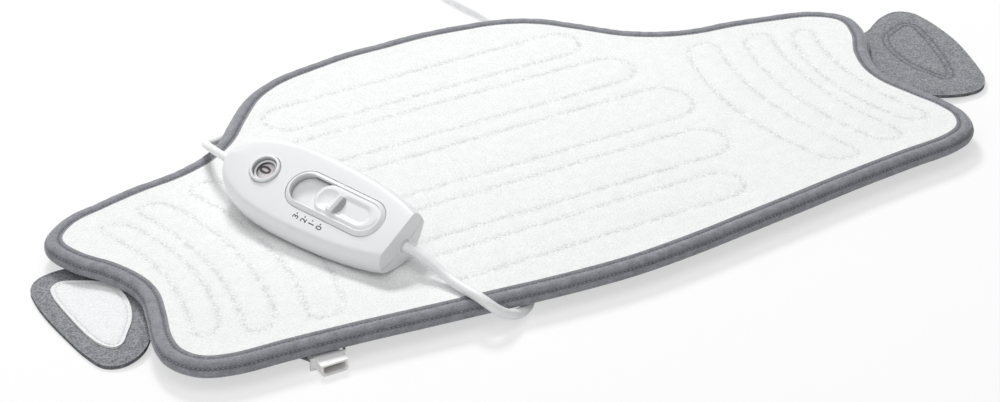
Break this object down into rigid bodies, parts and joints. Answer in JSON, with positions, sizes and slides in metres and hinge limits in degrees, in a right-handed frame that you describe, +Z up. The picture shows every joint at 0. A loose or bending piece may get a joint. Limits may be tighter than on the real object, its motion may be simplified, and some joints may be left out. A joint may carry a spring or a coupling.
{
  "type": "electric heating pad with controller",
  "caption": "Body-shaped electric heating pad of white fleece with grey edge binding and end tabs, with its slide-switch hand controller, leads and mains plug.",
  "frame": {"origin": "on the surface the pad lies on, under the middle of the pad with its tabs, socket and controller; the leads, the coil and the plugs aren't counted", "axes": "+X along the pad to the end with the plain grey tab, +Y from the edge with the socket to the crowned edge, +Z up"},
  "size_m": [0.6876, 0.5023, 0.0574],
  "materials": {
    "fleece": "fine white plush with pressed channels",
    "grey_fabric": "grey velvet binding and fleece",
    "hook_fabric": "short-pile fastening patch",
    "wadding": "soft unwoven wadding",
    "white_plastic": "semi-gloss",
    "grey_plastic": "matte",
    "clear_plastic": "clear and smooth",
    "red_plastic": "clear red",
    "black_plastic": "matte",
    "cord": "smooth white sheath",
    "board": "solder mask",
    "brass": "bright",
    "steel": "plated"
  },
  "bodies": {
    "pad": {"top_fleece": "fleece", "upper_wadding": "wadding", "heating_wire": "brass", "overheat_cutout": "steel", "wire_carrier": "wadding", "lower_wadding": "wadding", "back_cover": "grey_fabric", "edge_binding": "grey_fabric", "left_tab": "grey_fabric", "left_hook_patch": "hook_fabric", "right_tab": "grey_fabric", "right_hook_patch": "hook_fabric", "socket_housing": "white_plastic", "socket_insert": "grey_plastic", "socket_pin_1": "brass", "socket_pin_2": "brass", "socket_pin_3": "brass", "socket_pin_4": "brass", "socket_gusset_left": "grey_fabric", "socket_gusset_right": "grey_fabric", "upper_shell": "white_plastic", "lower_shell": "white_plastic", "housing_screw_1": "steel", "housing_screw_2": "steel", "housing_screw_3": "steel", "display_lens": "clear_plastic", "control_board": "board", "indicator_led": "red_plastic", "fuse": "clear_plastic", "triac": "black_plastic", "suppression_capacitor": "grey_plastic", "pad_cord_grip": "cord", "mains_cord_grip": "cord", "pad_cord": "cord", "coupling_relief": "cord", "coupling_plug": "white_plastic", "mains_cord": "cord", "mains_coil": "cord", "mains_tail": "cord", "coil_tie": "black_plastic", "plug_relief": "cord", "plug_body": "cord", "plug_pin_1": "steel", "plug_pin_2": "steel"},
    "slider": {"slider_knob": "white_plastic", "slider_carriage": "grey_plastic", "carriage_screw": "steel", "contact_wiper": "brass"},
    "disc": {"number_disc": "white_plastic"}
  },
  "joints": [
    {"name": "slider_slide", "type": "slide", "parent": "pad", "child": "slider", "axis": [-0.3595, 0.9317, 0.0523], "range_m": [0, 0.0192]},
    {"name": "number_disc_spin", "type": "hinge", "parent": "pad", "child": "disc", "pos_m": [-0.18147, -0.00229, 0.04429], "axis": [-0.4082, -0.2075, 0.889], "range_deg": [0, 180]}
  ],
  "couplings": [
    {"joint": "number_disc_spin", "follows": "slider_slide", "rad_per_m": 163.62}
  ]
}
